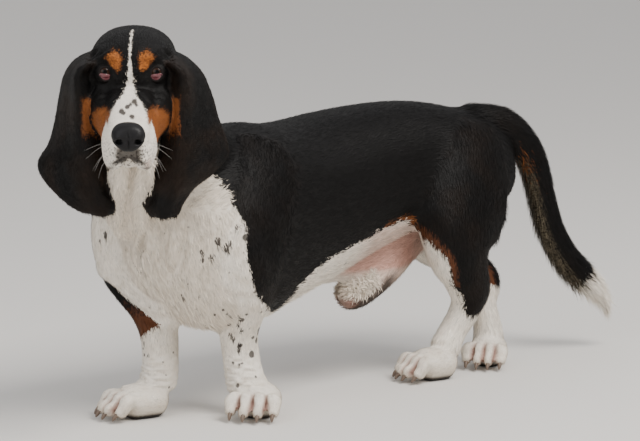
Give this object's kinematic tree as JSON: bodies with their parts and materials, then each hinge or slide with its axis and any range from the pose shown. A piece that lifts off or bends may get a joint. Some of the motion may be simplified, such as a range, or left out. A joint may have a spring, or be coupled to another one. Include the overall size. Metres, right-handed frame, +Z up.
{
  "type": "basset hound",
  "caption": "Life-size still figure of a standing tricolour basset hound, long low body, head turned to its left, long folded ears, heavy paws, tail carried behind.",
  "frame": {"origin": "on the floor, under the middle of the whole dog's box, with the soles of the paws on Z = 0", "axes": "the dog faces -Y with its tail towards +Y, its own left side is towards +X, and +Z is up"},
  "size_m": [0.3146, 0.9394, 0.4783],
  "materials": {
    "coat_black": "short smooth hair, slight gloss",
    "coat_white": "short smooth hair, matt, ticked with black",
    "leather_and_horn": "pebbled, slightly moist",
    "eye": "polished"
  },
  "bodies": {
    "root": {"torso": "coat_black", "neck": "coat_white", "head": "coat_black", "nose": "leather_and_horn", "ear_left": "coat_black", "eye_left": "eye", "ear_right": "coat_black", "eye_right": "eye", "foreleg_left": "coat_white", "forepaw_left": "coat_white", "hindleg_left": "coat_black", "hindpaw_left": "coat_white", "foreleg_right": "coat_white", "forepaw_right": "coat_white", "hindleg_right": "coat_black", "hindpaw_right": "coat_white", "tail_root": "coat_black", "tail_middle": "coat_black", "tail_tip": "coat_white", "sheath": "coat_white"}
  },
  "joints": []
}
